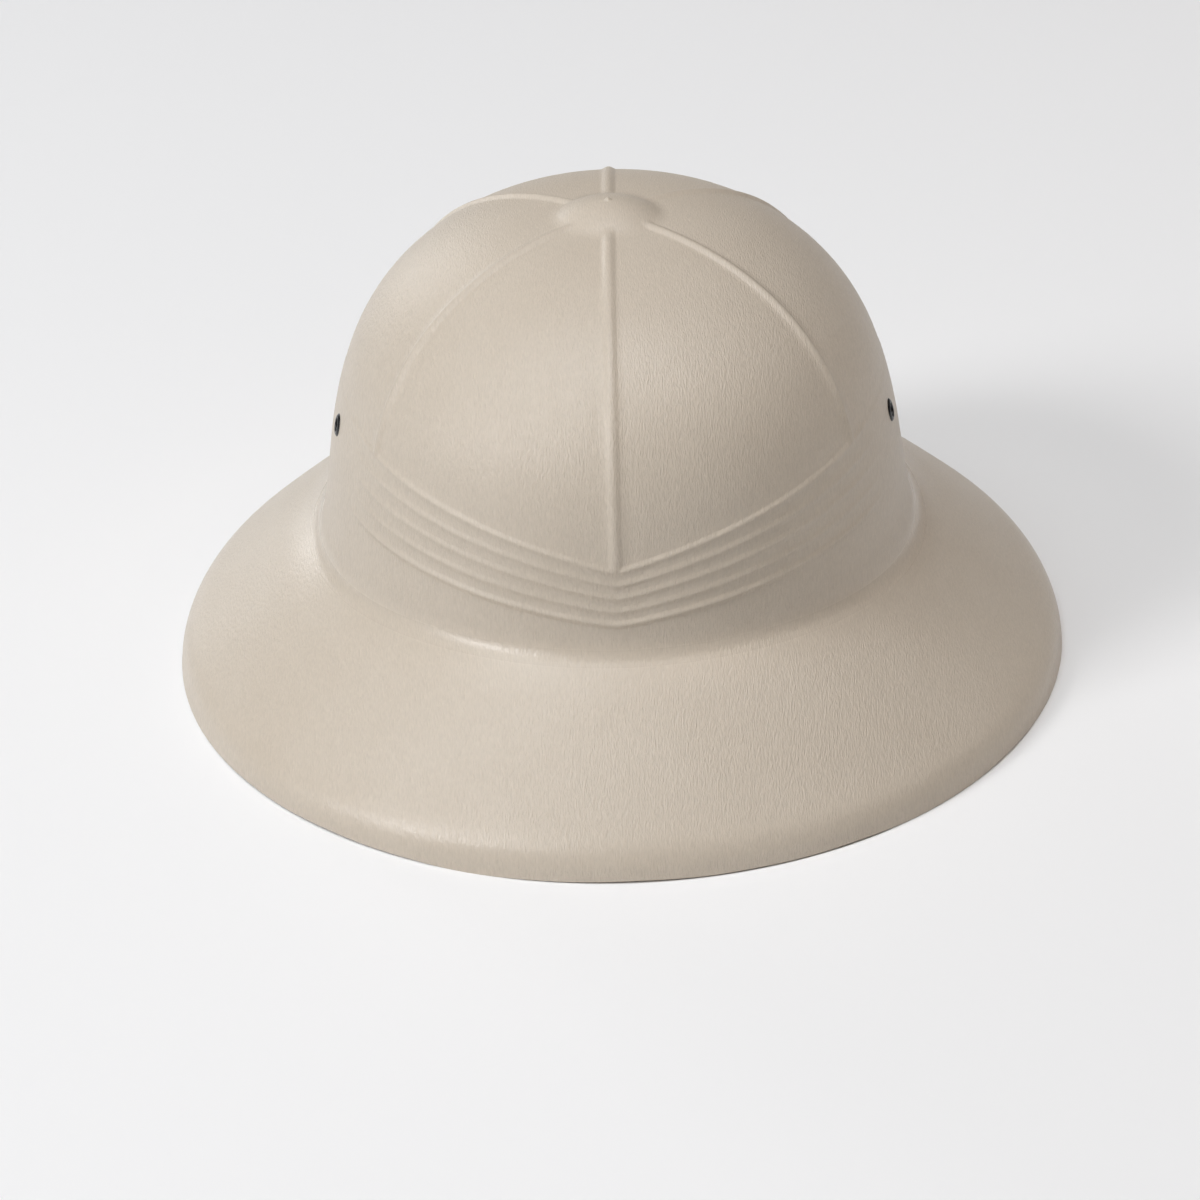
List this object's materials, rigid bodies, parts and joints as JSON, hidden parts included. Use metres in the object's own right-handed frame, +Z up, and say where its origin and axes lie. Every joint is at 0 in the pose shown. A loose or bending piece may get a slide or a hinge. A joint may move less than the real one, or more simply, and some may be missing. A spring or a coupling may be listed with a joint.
{
  "type": "pith helmet",
  "caption": "Moulded sun helmet with a domed crown, raised ribs, a pleated band, a sloping oval brim with a turned-down lip, and an eyelet vent in each side.",
  "frame": {"origin": "under the middle of the brim's oval, on the plane that the rim rests on", "axes": "+Y towards the back of the helmet, front towards -Y, +X towards the viewer's right when seen from the front, +Z up"},
  "size_m": [0.2916, 0.3324, 0.1544],
  "materials": {
    "shell": "fine leather grain, satin",
    "eyelet": "gloss black"
  },
  "bodies": {
    "root": {"shell": "shell", "eyelet_left": "eyelet", "eyelet_right": "eyelet"}
  },
  "joints": []
}
